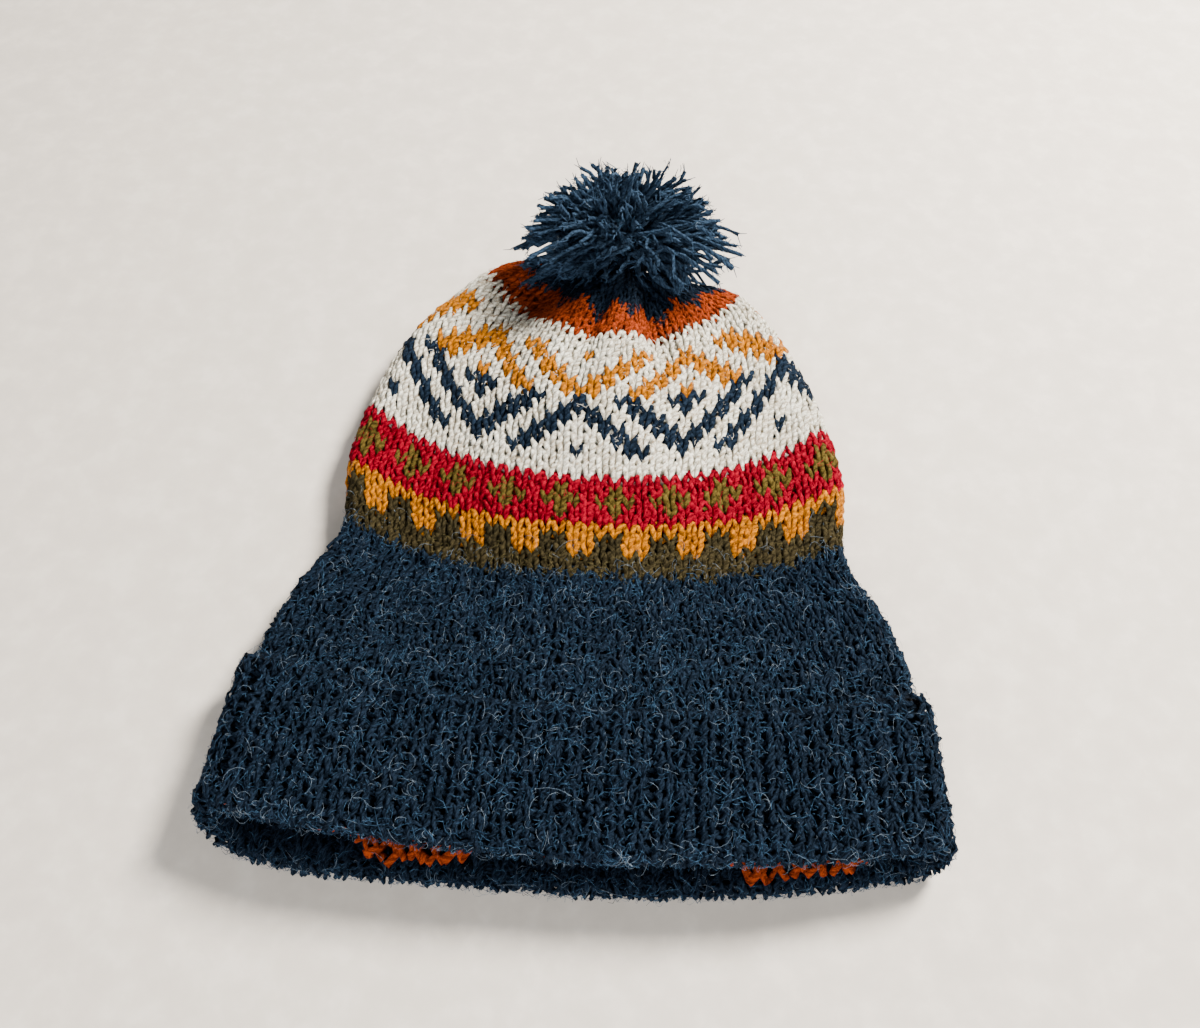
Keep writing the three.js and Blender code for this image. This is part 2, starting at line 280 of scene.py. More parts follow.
def tube_points(path, radius, sides, up, flatten=1.0, ply=0.0):
    """Points round paths of shape (tubes, rings, 3), in a frame whose third axis is near up.
    ply is how far two twisted plies stand out, as a share of the radius."""
    across, rise = path_frame(path, up)
    turn = 2 * math.pi * np.arange(sides) / sides - math.pi / 2
    radius = np.broadcast_to(radius, path.shape[:2])[..., None]
    if ply:
        begin = rng.uniform(0, 2 * math.pi, (len(path), 1))
        twist = lengths_along(path) * 2 * math.pi / TWIST_PITCH + begin
        radius = radius * (1 + ply * np.cos(2 * (turn - twist[..., None])))
    wide = across[:, :, None, :] * (np.cos(turn) * radius)[..., None]
    high = rise[:, :, None, :] * (np.sin(turn) * radius)[..., None] * flatten
    return path[:, :, None, :] + wide + high


def set_strand(thing, path, sides):
    """Tells the materials where each point lies on its yarn: millimetres along, with a start of each
    tube's own, then the cosine and sine of its way round."""
    turn = 2 * math.pi * np.arange(sides) / sides
    values = np.zeros(path.shape[:2] + (sides, 3))
    values[..., 0] = lengths_along(path)[..., None] + rng.uniform(0, STRAND_SPREAD, (len(path), 1, 1))
    values[..., 1] = np.cos(turn)
    values[..., 2] = np.sin(turn)
    attribute = thing.data.attributes.new("strand", "FLOAT_VECTOR", "POINT")
    attribute.data.foreach_set("vector", values.astype(np.float32).ravel())


# Materials

class Graph:
    """Short forms for a material's nodes."""

    def __init__(self, material):
        self.nodes, self.links = material.node_tree.nodes, material.node_tree.links

    def put(self, socket, value):
        if isinstance(value, bpy.types.NodeSocket):
            self.links.new(value, socket)
        else:
            socket.default_value = value

    def math(self, operation, a, b=0.0, c=0.0):
        node = self.nodes.new("ShaderNodeMath")
        node.operation = operation
        for socket, value in zip(node.inputs, (a, b, c)):
            self.put(socket, value)
        return node.outputs[0]

    def noise(self, vector, scale, detail=2.0, rough=0.5):
        node = self.nodes.new("ShaderNodeTexNoise")
        self.put(node.inputs["Vector"], vector)
        for name, value in (("Scale", scale), ("Detail", detail), ("Roughness", rough)):
            node.inputs[name].default_value = value
        return node.outputs["Fac"]

    def combine(self, x, y, z):
        node = self.nodes.new("ShaderNodeCombineXYZ")
        for socket, value in zip(node.inputs, (x, y, z)):
            self.put(socket, value)
        return node.outputs[0]

    def ramp(self, value, stops):
        node = self.nodes.new("ShaderNodeValToRGB")
        elements = node.color_ramp.elements
        while len(elements) < len(stops):
            elements.new(0.5)
        for element, (position, colour) in zip(elements, stops):
            element.position = position
            element.color = (*colour, 1)
        self.put(node.inputs["Fac"], value)
        return node.outputs["Color"]


# Noise scales are in turns a metre, but the fibres' own in turns round the yarn
LUMP_SCALE = 1100.0
DRIFT_SCALE = 120.0
FIBRE_SCALE = 2.6
FIBRE_STRETCH = 0.3
STITCH_DRIFT = 0.06
PLY_HEIGHT = 0.15
BUMP_DEPTH = 0.0022
SHEEN_ROUGHNESS = 0.4
MATT_ROUGHNESS = 0.7
MATT_SPECULAR, SILKY_SPECULAR = 0.2, 0.5
YARN_TONES, PLAIN_TONES = (0.5, 0.74), (0.4, 0.68)
MIDDLE_TONE = 0.35


def wool(name, dark, light, roughness=0.9, sheen=0.12, bump=1.0, streak=True, scale=LUMP_SCALE):
    """Wool: fibres that run round the yarn with its twist, in tones between dark and light. The tone follows
    the relief, so the dark tone in its hollows is painted shade and the light tone on its tops is painted
    highlight, mixed with the wool's own uneven tone.
    """
    material = bpy.data.materials.new(name)
    material.use_nodes = True
    graph = Graph(material)
    shader = graph.nodes["Principled BSDF"]
    shader.inputs["Roughness"].default_value = roughness
    shader.inputs["Sheen Weight"].default_value = sheen
    shader.inputs["Sheen Roughness"].default_value = SHEEN_ROUGHNESS
    shader.inputs["Sheen Tint"].default_value = (*light, 1)
    specular = MATT_SPECULAR if roughness > MATT_ROUGHNESS else SILKY_SPECULAR
    shader.inputs["Specular IOR Level"].default_value = specular
    shader.inputs["Specular Tint"].default_value = (*light, 1)
    coordinates = graph.nodes.new("ShaderNodeTexCoord").outputs["Object"]
    lumps = graph.noise(coordinates, scale, 3.0, 0.6)
    drift = graph.noise(coordinates, DRIFT_SCALE)
    height = lumps
    if streak:
        strand = graph.nodes.new("ShaderNodeAttribute")
        strand.attribute_name = "strand"
        parts = graph.nodes.new("ShaderNodeSeparateXYZ")
        graph.put(parts.inputs[0], strand.outputs["Vector"])
        along, cosine, sine = parts.outputs
        round_yarn = graph.math("ARCTAN2", sine, cosine)
        angle = graph.math("MULTIPLY_ADD", along, 2 * math.pi / TWIST_PITCH, round_yarn)
        round_x, round_y = graph.math("COSINE", angle), graph.math("SINE", angle)
        stretched = graph.combine(graph.math("MULTIPLY", along, FIBRE_STRETCH), round_x, round_y)
        fibres = graph.noise(stretched, FIBRE_SCALE, 3.0, 0.65)
        plies = graph.math("ABSOLUTE", round_x)
        height = graph.math("MULTIPLY_ADD", fibres, 0.65, graph.math("MULTIPLY", lumps, 0.35))
        height = graph.math("MULTIPLY_ADD", plies, PLY_HEIGHT, height)
        each = graph.noise(graph.combine(graph.math("MULTIPLY", along, STITCH_DRIFT), 5.0, 5.0), 1.0, 1.0)
        drift = graph.math("MULTIPLY_ADD", each, 0.8, graph.math("MULTIPLY", drift, 0.6))
    # The colour's tone follows the relief's height: painted shade in the hollows and painted highlight on the
    # tops, with the drift as the wool's own uneven tone
    tone = graph.math("MULTIPLY_ADD", drift, 0.25, graph.math("MULTIPLY", height, 0.8))
    low, high = YARN_TONES if streak else PLAIN_TONES
    middle = tuple((1 - MIDDLE_TONE) * d + MIDDLE_TONE * l for d, l in zip(dark, light))
    colour = graph.ramp(tone, ((low, dark), (0.5 * (low + high), middle), (high, light)))
    graph.put(shader.inputs["Base Color"], colour)
    relief_node = graph.nodes.new("ShaderNodeBump")
    relief_node.inputs["Strength"].default_value = min(bump, 1.0)
    relief_node.inputs["Distance"].default_value = BUMP_DEPTH * bump
    graph.put(relief_node.inputs["Height"], height)
    graph.put(shader.inputs["Normal"], relief_node.outputs["Normal"])
    return material


def srgb(*levels):
    """A linear colour from levels out of 255."""
    shares = [level / 255 for level in levels]
    return tuple(share / 12.92 if share < 0.04045 else ((share + 0.055) / 1.055) ** 2.4 for share in shares)


# Each yarn: dark and light tone, roughness, sheen and bump. The dark tone holds painted shade for the hollows
# between fibres, plies and stitches, and the light tone holds painted highlight for the tops.
YARNS = {
    "navy": (srgb(0, 2, 5), srgb(31, 43, 58), 0.95, 0.2, 1.0),
    # The pompom's navy is painted lighter than the knit's navy, as painted light against the shade that its
    # strands cast on one another
    "pompom": (srgb(6, 16, 27), srgb(55, 74, 95), 0.95, 0.3, 1.0),
    "olive": (srgb(8, 7, 4), srgb(64, 56, 36), 0.95, 0.12, 1.0),
    "moss": (srgb(26, 21, 5), srgb(100, 83, 37), 0.95, 0.1, 1.0),
    "gold": (srgb(62, 24, 0), srgb(216, 130, 0), 0.55, 0.0, 1.2),
    "red": (srgb(56, 0, 6), srgb(158, 0, 35), 0.9, 0.08, 1.0),
    "cream": (srgb(142, 120, 90), srgb(255, 252, 234), 0.85, 0.08, 1.0),
    "rust": (srgb(56, 15, 3), srgb(160, 62, 25), 0.9, 0.12, 1.0),
}
yarn_materials = {name: wool("yarn_" + name, *tones) for name, tones in YARNS.items()}


# Rows of the body's knitting: share of the rows where each band starts and ends, and its chart from
# the bottom row up. A chart row repeats round the hat.
YARN_LETTERS = {"n": "navy", "o": "olive", "m": "moss", "g": "gold", "r": "red", "c": "cream", "t": "rust"}
CREAM_HALVES = (
    "ccccccccc",
    "ccccccccc",
    "ncccnnccn",
    "cccnnccnn",
    "ccnnccnnc",
    "cnnccnncc",
    "nnccnnccn",
    "nccnnccnn",
    "ggccggccg",
    "cggccggcc",
    "ccggccggc",
    "cccggccgg",
    "gcccggccg",
    "ccccccccc",
    "ccccccccc",
)
BANDS = (
    ("lower", 0.165, 0.414, ("n",) * 15),
    ("teeth", 0.414, 0.494, ("o", "o", "ggoo", "ggoo", "g")),
    ("crosses", 0.494, 0.574, ("r", "rrrm", "mrmm", "rrrm", "r")),
    ("waves", 0.574, 0.848, tuple(half + half[-2:0:-1] for half in CREAM_HALVES)),
    ("points", 0.848, 0.932, ("t", "t", "tttn", "ntnn", "n")),
)
# The tip's plain navy rows: start, end, rows and stitches round
TIP = (0.932, 0.993, 4, 34)
STITCH_COUNT = 80
FIRST_COLUMN = 1 - STITCH_COUNT // 2
STITCH_WIDTH = 5.6
ROW_HEIGHT = 4.2
FRONT_SPREAD = 0.45
SPREAD_START, SPREAD_FULL = 0.55, 0.86
SKIN_OUT = -1.7

# A loop of yarn: its sway is a share of a stitch, its reach of a row, and the rest are millimetres
YARN_RADIUS = 1.2
YARN_FLATTEN = 0.82
LOOP_SWAY, LOOP_REACH = 0.255, 0.93
LOOP_RISE, LOOP_SINK = 1.0, 0.55
UNEVEN = {
    "sway": 0.02, "reach": 0.05, "wander": 0.03, "shift": 0.035, "lean": 0.05, "row": 0.05, "ripple": 0.04,
    "out": 0.15, "lift": 0.14, "thick": 0.06, "lumps": 0.08,
}

# Plies, whose offset and size are shares of the yarn's radius, and how far a fused yarn shows them
PLY_SIZE, PLY_OFFSET = 0.6, 0.52
PLY_PITCH = 5.5
PLY_WILD = 0.12
PLY_SHOWS, PLY_SHOWS_ROUGH = 0.16, 1.2

# Rings and sides of a loop: in full, in two loose plies, and coarse on the side that faces the floor
FULL, LOOSE, COARSE = (10, 5), (10, 4), (6, 4)
FLOOR_SIDE = 0.17

# The knit is pressed in along the cuff's hem: millimetres, then shares of the rows
HEM_PRESS = 1.1
HEM_PRESS_FROM, HEM_PRESS_WIDE = 0.012, 0.014


def front_spread(at):
    """How far the front's columns spread, where the crown draws in."""
    return FRONT_SPREAD * smoothstep(SPREAD_START, SPREAD_FULL, at)


def round_of(column, at):
    """Way round of a column of stitches."""
    share = (column - 1) / STITCH_COUNT
    return (0.5 - share - front_spread(at) * np.sin(2 * math.pi * share) / (2 * math.pi)) % 1


def faces_floor(around):
    return np.minimum(around, 1 - around) < FLOOR_SIDE


def twisted(path, up, radius, wild):
    """Paths, radii and up directions of two plies that wind round a path and wander by wild millimetres."""
    side, rise = path_frame(path, up)
    turn = lengths_along(path) * 2 * math.pi / PLY_PITCH + rng.uniform(0, 2 * math.pi, (len(path), 1))
    offset = (PLY_OFFSET * radius)[..., None]
    plies = []
    for begin in (0, math.pi):
        way = np.cos(turn + begin)[..., None] * side + np.sin(turn + begin)[..., None] * rise
        plies.append(path + offset * way + rng.normal(0, wild, path.shape))
    return np.concatenate(plies), np.tile(PLY_SIZE * radius, (2, 1)), np.tile(up, (2, 1, 1))


def stitch_tubes(name, yarn, columns, rows, row_height, width, surface, scale, detail, rough):
    """Loops of one yarn. surface turns column, row place and height out into points, scale is the
    yarn's size, and rough says how uneven the loops are."""
    rings, sides = detail
    count = len(columns)
    t = np.linspace(0, 1, rings)[None, :]

    def uneven(what, each_ring=False):
        return rng.normal(0, UNEVEN[what] * rough, (count, rings if each_ring else 1))

    columns, rows, row_height, width, scale = (
        np.broadcast_to(values, count)[:, None] for values in (columns, rows, row_height, width, scale)
    )
    across = t - 0.5 + (LOOP_SWAY + uneven("sway")) * np.sin(4 * math.pi * t)
    along = -(LOOP_REACH + uneven("reach")) * np.cos(2 * math.pi * t)
    wander = uneven("wander", True) + uneven("shift") + uneven("lean") * along
    column = columns + width * (across + wander)
    row = rows + row_height * (along + uneven("row") + uneven("ripple", True))
    out = scale * (-LOOP_RISE * np.cos(4 * math.pi * t) - LOOP_SINK + uneven("out") + uneven("lift", True))
    path = surface(column, row, out)
    up = unit(surface(column, row, out + 1) - path)
    radius = YARN_RADIUS * scale * (1 + uneven("thick") + uneven("lumps", True))
    shows = PLY_SHOWS * min(rough, PLY_SHOWS_ROUGH)
    if detail == LOOSE:
        path, radius, up = twisted(path, up, radius, PLY_WILD * rough)
        shows = 0.0
    points = above_floor(tube_points(path, radius, sides, up, YARN_FLATTEN, shows))
    faces = tube_faces(len(path), rings, sides)
    thing = make_object(name, points.reshape(-1, 3), faces, yarn_materials[yarn])
    set_strand(thing, path, sides)
    return thing


def body_surface(column, row, out):
    """Points of the body's knit, pressed in a little along the cuff's hem."""
    pressed = HEM_PRESS * np.exp(-((row - CUFF_SHARE - HEM_PRESS_FROM) / HEM_PRESS_WIDE) ** 2)
    return place(row, round_of(column, row), out - pressed)


def add(thing, slot, *nodes):
    """Makes a mesh a piece of the hat, standing for the nodes given."""
    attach(thing, "root")
    if nodes:
        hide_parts(*nodes)


# Body stitches. The way round the flat tube is about so many of its half widths.
ROUND_IN_HALVES = 4.1
LEAST_YARN = 0.5
CHART_PLUMP = 1.07
PLAIN_ROUGH = 2.0
SMOOTH_ROUGH = 0.9
CHART_ROUGH = {"olive": 1.5, "red": 1.4, "rust": 1.4, "moss": 1.3}
TIP_DETAIL, TIP_ROUGH = (9, 5), 1.5


def yarn_size(at, count):
    """Yarn size for a ring of so many stitches, thinner where they crowd."""
    half = sections_at(at)["half"] * BODY_WIDTH / 2
    spread = 1 + front_spread(at)
    return np.clip(ROUND_IN_HALVES * half * spread / count / STITCH_WIDTH, LEAST_YARN, 1.0)


def charted_loops():
    """Column, row and row height of each loop, by yarn and by whether it is in the plain knit."""
    loops = {}
    for band, start, end, chart in BANDS:
        height = (end - start) / len(chart)
        for i, letters in enumerate(chart):
            row = start + (i + 0.5) * height
            for column in range(FIRST_COLUMN, FIRST_COLUMN + STITCH_COUNT):
                yarn = YARN_LETTERS[letters[column % len(letters)]]
                loops.setdefault((yarn, band == "lower"), []).append((column, row, height))
    return loops


def knit_body():
    for (yarn, plain), found in charted_loops().items():
        column, row, height = np.array(found).T
        below = faces_floor(round_of(column, row))
        size = (1.0 if plain else CHART_PLUMP) * yarn_size(row, STITCH_COUNT)
        rough = PLAIN_ROUGH if plain else CHART_ROUGH.get(yarn, SMOOTH_ROUGH)
        for label, chosen, detail in (("upper", ~below, LOOSE if plain else FULL), ("lower", below, COARSE)):
            thing = stitch_tubes(
                f"stitches_{'plain' if plain else yarn}_{label}", yarn, column[chosen], row[chosen],
                height[chosen], 1.0, body_surface, size[chosen], detail, rough,
            )
            add(thing, "body_knit")


def knit_tip():
    start, end, rows, count = TIP
    height = (end - start) / rows
    column, row = np.meshgrid(np.arange(count), start + (np.arange(rows) + 0.5) * height)
    step = STITCH_COUNT / count
    thing = stitch_tubes(
        "stitches_tip", "navy", column.ravel() * step + FIRST_COLUMN, row.ravel(), height, step, body_surface,
        yarn_size(row.ravel(), count), TIP_DETAIL, TIP_ROUGH,
    )
    add(thing, "body_knit")


knit_body()
knit_tip()


# Skins behind the stitches, outside and inside, in their yarns' tones darkened as painted shade that shows in
# the gaps between the stitches
def skin(name, rows, columns, surface, thickness, colours):
    """A closed sheet: outer face over rows and columns, inner face thickness mm further in."""
    row, column = np.meshgrid(rows, np.linspace(0, 1, columns + 1)[:-1], indexing="ij")
    outer = surface(row, column, 0.0)
    inner = surface(row, column, -thickness)
    ring = np.concatenate([outer, inner[::-1]])
    faces = tube_faces(1, len(ring), columns, closed=True)[:, ::-1]
    thing = make_object(name, ring.reshape(-1, 3), faces, colours[0])
    for colour in colours[1:]:
        thing.data.materials.append(colour)
    return thing


# Where the skin changes colour: at each band's start and where the points turn navy
POINTS_TURN = 0.9
SKIN_BANDS = (*(start for _, start, _, _ in BANDS[1:]), POINTS_TURN)
SKIN_YARNS = ("navy", "olive", "red", "cream", "rust", "navy")
# How much darker the skins are than their yarns: painted shade for the gaps between the stitches
SKIN_SHADE = 0.55
SKIN_COLUMNS = 90
SKIN_WALL = 1.5
shaded_skin_materials = [
    wool("shaded_ground_" + name, *(np.array(YARNS[name][:2]) * SKIN_SHADE), streak=False) for name in SKIN_YARNS
]


def knit_body_skin():
    start = (FOLD_DEPTH + CLEARANCE) / BODY_LENGTH
    rows = np.concatenate([np.linspace(start, POINTS_TURN, 66), np.linspace(0.908, 0.997, 12)])
    thing = skin(
        "body_ground", rows, SKIN_COLUMNS, lambda r, c, out: place(r, c, out + SKIN_OUT), SKIN_WALL,
        shaded_skin_materials,
    )
    around = np.concatenate([rows, rows[::-1]])
    bands = np.searchsorted(SKIN_BANDS, (around + np.roll(around, -1)) / 2)
    thing.data.polygons.foreach_set("material_index", np.repeat(bands, SKIN_COLUMNS).astype(np.int32))
    add(thing, "body_knit", "body")


knit_body_skin()

# Cuff: way along its section, from inside the mouth round the fold to the hem, in millimetres
NOSE_RADIUS = (CLEARANCE + CUFF_WALL + BODY_WALL) / 2
INSIDE_RUN = 10.0
NOSE_RUN = math.pi * NOSE_RADIUS
FACE_RUN = CUFF_DEPTH - FOLD_DEPTH

# The hem: how far it flares out and from where, then its rounding, all in millimetres
FLARE, FLARE_START, FLARE_FULL = 0.4, 10.0, 2.0
HEM_START, HEM_ROUND = 1.0, 2.2
HEM_OUT, HEM_DROP = 1.2, 1.6

# Ribs: a knit column's width as a share of a rib, and how much wider it is round the fold
RIB_SHARE, FOLD_RIB_SHARE = 0.74, 0.14
CUFF_ROUGH = 1.6
GROOVE_OUT, GROOVE_DEEP = -1.7, 1.3

# Purl bumps between the ribs: half their width in ribs, then millimetres
PURL_RINGS, PURL_SIDES = 6, 5
PURL_HALF = 0.3
PURL_ARCH = 0.9
PURL_OUT, PURL_SINK, PURL_FOLD_RISE = -2.4, 1.1, 1.7
PURL_RADIUS, PURL_FLATTEN, PURL_PLY = 1.05, 0.9, 0.18


def cuff_surface(column, row, out):
    """Points of the cuff: column in ribs, row in millimetres along its section."""
    nose = np.clip((row - INSIDE_RUN) / NOSE_RADIUS, 0, math.pi)
    middle = (CLEARANCE + CUFF_WALL - BODY_WALL) / 2
    before = np.maximum(INSIDE_RUN - row, 0)
    after = np.maximum(row - INSIDE_RUN - NOSE_RUN, 0)
    hem = np.clip((after - FACE_RUN + HEM_START) / HEM_ROUND, 0, math.pi / 2)
    flare = FLARE * smoothstep(FACE_RUN - FLARE_START, FACE_RUN - FLARE_FULL, after)
    folded = FOLD_DEPTH - (NOSE_RADIUS + out) * np.sin(nose)
    length = folded + before + np.minimum(after, FACE_RUN) + HEM_OUT * np.sin(hem)
    height = middle - (NOSE_RADIUS + out) * np.cos(nose) + flare - HEM_DROP * (1 - np.cos(hem))
    return place(length / BODY_LENGTH, column / RIB_COUNT, height)


def on_fold(row):
    """1 at the middle of the fold's round nose, 0 away from it."""
    return np.sin(np.clip((row - INSIDE_RUN) / NOSE_RADIUS, 0, math.pi))


def knit_ribs(column, row):
    below = faces_floor(column / RIB_COUNT) & (row > INSIDE_RUN + NOSE_RUN + 2)
    for label, chosen, detail in (("upper", ~below, LOOSE), ("lower", below, COARSE)):
        width = RIB_SHARE + FOLD_RIB_SHARE * on_fold(row[chosen])
        thing = stitch_tubes(
            "stitches_cuff_" + label, "navy", column[chosen], -row[chosen], ROW_HEIGHT, width,
            lambda c, r, out: cuff_surface(c, -r, out), 1.0, detail, CUFF_ROUGH,
        )
        add(thing, "cuff_knit")


def knit_purls(column, row):
    """Bumps in the grooves between the ribs, which close up round the fold."""
    count = len(column)
    s = np.linspace(-1, 1, PURL_RINGS)[None, :]
    column = column[:, None] + 0.5 + PURL_HALF * s + rng.normal(0, 0.03, (count, 1))
    rise = PURL_FOLD_RISE * on_fold(row)[:, None]
    row = row[:, None] + ROW_HEIGHT / 2 + PURL_ARCH * s**2 + rng.normal(0, 0.3, (count, 1))
    out = PURL_OUT - PURL_SINK * s**2 + rise + rng.normal(0, 0.2, (count, 1))
    path = cuff_surface(column, row, out)
    up = unit(cuff_surface(column, row, out + 1) - path)
    radius = PURL_RADIUS * (1 + rng.normal(0, 0.1, (count, PURL_RINGS)))
    points = above_floor(tube_points(path, radius, PURL_SIDES, up, PURL_FLATTEN, PURL_PLY)).reshape(-1, 3)
    faces = tube_faces(count, PURL_RINGS, PURL_SIDES)
    thing = make_object("purls_cuff", points, faces, yarn_materials["navy"])
    set_strand(thing, path, PURL_SIDES)
    add(thing, "cuff_knit")


def cuff_ground(row, around, out):
    groove = (0.5 - 0.5 * np.cos(2 * math.pi * around * RIB_COUNT)) * (1 - on_fold(row))
    return cuff_surface(around * RIB_COUNT, row, out + GROOVE_OUT - GROOVE_DEEP * groove)


def knit_cuff():
    rows = np.arange(3.0, INSIDE_RUN + NOSE_RUN + FACE_RUN - 0.5, ROW_HEIGHT)
    column, row = np.meshgrid(np.arange(RIB_COUNT), rows)
    knit_ribs(column.ravel(), row.ravel())
    knit_purls(column.ravel(), row.ravel())
    face = INSIDE_RUN + NOSE_RUN
    rows = np.concatenate([np.linspace(5.0, face, 12), np.linspace(face + 3, face + FACE_RUN + 2.0, 14)])
    thing = skin("cuff_ground", rows, 2 * RIB_COUNT, cuff_ground, 1.2, shaded_skin_materials[:1])
    add(thing, "cuff_knit", "cuff")


knit_cuff()

# Lining: a facing inside the mouth, with loops at its edge, which comes nearer to the fold in
# windows (from, to, millimetres) of the way round
LINING_WINDOWS = ((0.863, 0.892, 6.0), (0.885, 0.937, 4.6), (0.112, 0.195, 6.6), (0.735, 0.752, 6.6))
WINDOW_EDGE_OUT, WINDOW_EDGE_IN = 0.01, 0.008
LINING_EDGE = 4.0
LINING_ROWS = 3
LINING_YARN, LINING_DETAIL, LINING_ROUGH = 1.25, (7, 5), 1.7
LINING_SKIN_OUT, LINING_SKIN_WALL = -1.5, 0.6


def lining_edge(around):
    """How far the lining's edge lies from its setback, in millimetres: less in the windows."""
    near = np.zeros_like(around)
    for low, high, reach in LINING_WINDOWS:
        begins = smoothstep(low - WINDOW_EDGE_OUT, low + WINDOW_EDGE_IN, around)
        ends = smoothstep(high - WINDOW_EDGE_IN, high + WINDOW_EDGE_OUT, around)
        near = np.maximum(near, reach * (begins * (1 - ends)))
    return LINING_EDGE - near


def lining_surface(column, row, out):
    """Points of the facing's inner side, with out inwards, as it faces the mouth's middle."""
    around = (column / STITCH_COUNT) % 1
    depth = BODY_WALL + CLEARANCE + LINING_WALL
    return place((row + lining_edge(around)) / BODY_LENGTH, around, -depth - out)


def lining_ground(row, around, out):
    return lining_surface(around * STITCH_COUNT, row, LINING_SKIN_OUT - out)


def knit_lining():
    rows = LINING_SETBACK + 1.0 + ROW_HEIGHT * np.arange(LINING_ROWS)
    column, row = np.meshgrid(np.arange(STITCH_COUNT), rows)
    thing = stitch_tubes(
        "stitches_lining", "rust", column.ravel(), row.ravel(), ROW_HEIGHT, 1.0, lining_surface, LINING_YARN,
        LINING_DETAIL, LINING_ROUGH,
    )
    add(thing, "lining_knit")
    rows = np.linspace(LINING_SETBACK + 1.5, LINING_SETBACK + LINING_DEPTH - 4.5, 12)
    thing = skin("lining_ground", rows, 120, lining_ground, LINING_SKIN_WALL, shaded_skin_materials[4:5])
    add(thing, "lining_knit", "lining")


knit_lining()

# Pompom: bent strands of yarn that spread from the knot at the tip
tip_front, tip_back = (ring_points(np.array([1.0]), np.array([share]))[0] for share in (0.5, 0.0))
tip = (tip_front + tip_back) / 2 + SHIFT
fan = np.array([0.0, math.cos(POMPOM_TILT), math.sin(POMPOM_TILT)])
knot = tip + POMPOM_STANDOFF * fan

# Strands over a whole ball, the tufts that they lean into, and a strand's rings, sides and radius
STRAND_COUNT = 1500
TUFT_COUNT = 90
STRAND_RINGS, STRAND_SIDES = 13, 4
STRAND_RADIUS, STRAND_FLATTEN, END_SWELL = 0.76, 0.85, 0.25
STRAND_FLOOR = 1.4

# Strand lengths: mean and spread as shares of the pompom's radius, and a tuft's own spread
LENGTH_MEAN, LENGTH_SPREAD, TUFT_LENGTH_SPREAD = 0.955, 0.055, 0.03

# Where the strands part and fall aside, and the way that the crown's puffed rim presses them short
PARTING = unit(np.array([0.08, -0.42, 0.9]))
CROWN_SIDE = unit(np.array([0.0, -0.85, -0.2]))
CROWN_SHORTENING = 0.5
FLOOR_SHORTENING = 0.35
FRONT_SHORTENING = 0.1

# How strongly a strand starts along the fan's way, and its waves: millimetres and half turns
START_PULL = 1.1
STRAND_WAVES = ((2.6, 1.0), (2.0, 2.4), (1.2, 4.4))

# The core that fills the ball's middle: where it begins and ends past the knot, and its radius
CORE_START, CORE_END, CORE_RADIUS = -4.0, 24.0, 13.0
CORE_RINGS, CORE_SIDES = 7, 10


def even_directions(count):
    i = np.arange(count)
    height = 1 - (2 * i + 1) / count
    turn = i * math.pi * (3 - math.sqrt(5))
    reach = np.sqrt(1 - height**2)
    return np.stack([reach * np.cos(turn), reach * np.sin(turn), height], -1)


def strand_paths():
    """Paths of the pompom's strands, from the knot to their cut ends."""
    directions = unit(even_directions(STRAND_COUNT) + rng.normal(0, 0.06, (STRAND_COUNT, 3)))
    directions = directions[directions @ fan > math.cos(POMPOM_SPREAD)]
    count = len(directions)
    tufts = unit(even_directions(TUFT_COUNT) + rng.normal(0, 0.12, (TUFT_COUNT, 3)))
    nearest = np.argmax(directions @ tufts.T, axis=1)
    bend = rng.normal(0, 0.16, (TUFT_COUNT, 3))[nearest]
    towards = directions @ PARTING
    away = directions - towards[:, None] * PARTING + rng.normal(0, 0.3, (count, 3))
    backward = away @ fan
    away = unit(away - np.minimum(backward + 0.1, 0)[:, None] * 1.6 * fan)
    splay = np.clip(towards, 0, 1)[:, None] ** 1.5 * rng.uniform(0.1, 0.8, (count, 1))
    ends = unit(directions * (1 - splay) + away * splay + 0.3 * (tufts[nearest] - directions) + bend)
    own = rng.normal(LENGTH_MEAN, LENGTH_SPREAD, count)
    length = POMPOM_RADIUS * (own + rng.normal(0, TUFT_LENGTH_SPREAD, TUFT_COUNT)[nearest])
    forward = ends @ fan
    length *= (
        1 - FRONT_SHORTENING * np.clip(forward, 0, 1) - FLOOR_SHORTENING * smoothstep(0.0, 0.5, -forward)
    )
    length *= 1 - CROWN_SHORTENING * smoothstep(0.05, 0.7, ends @ CROWN_SIDE)
    s = np.linspace(0.04, 1, STRAND_RINGS)[None, :, None]
    start = unit(directions * 0.6 + 0.8 * fan + rng.normal(0, 0.2, (count, 3)))
    waves = sum(
        rng.normal(0, size, (count, 1, 3)) * np.sin(math.pi * s * turns + rng.uniform(0, 3, (count, 1, 1)))
        for size, turns in STRAND_WAVES
    )
    curve = (1 - s) * s * START_PULL * start[:, None] + s * s * ends[:, None]
    return above_floor(knot + length[:, None, None] * curve + waves * s, STRAND_FLOOR)


def tie_strands(path):
    """The strands along their paths, thicker towards their ends."""
    count = len(path)
    s = np.linspace(0.04, 1, STRAND_RINGS)[None, :]
    up = unit(rng.normal(0, 1, (count, 1, 3)))
    radius = STRAND_RADIUS * (1 + rng.normal(0, 0.1, (count, STRAND_RINGS)))
    radius = radius * (1 + END_SWELL * smoothstep(0.5, 0.95, s))
    points = above_floor(tube_points(path, radius, STRAND_SIDES, up, STRAND_FLATTEN)).reshape(-1, 3)
    faces = tube_faces(count, STRAND_RINGS, STRAND_SIDES)
    # The pompom's yarn: the navy painted lighter against the strands' shade on one another
    thing = make_object("pompom_strands", points, faces, yarn_materials["pompom"])
    set_strand(thing, path, STRAND_SIDES)
    add(thing, "pompom_yarn", "pompom")


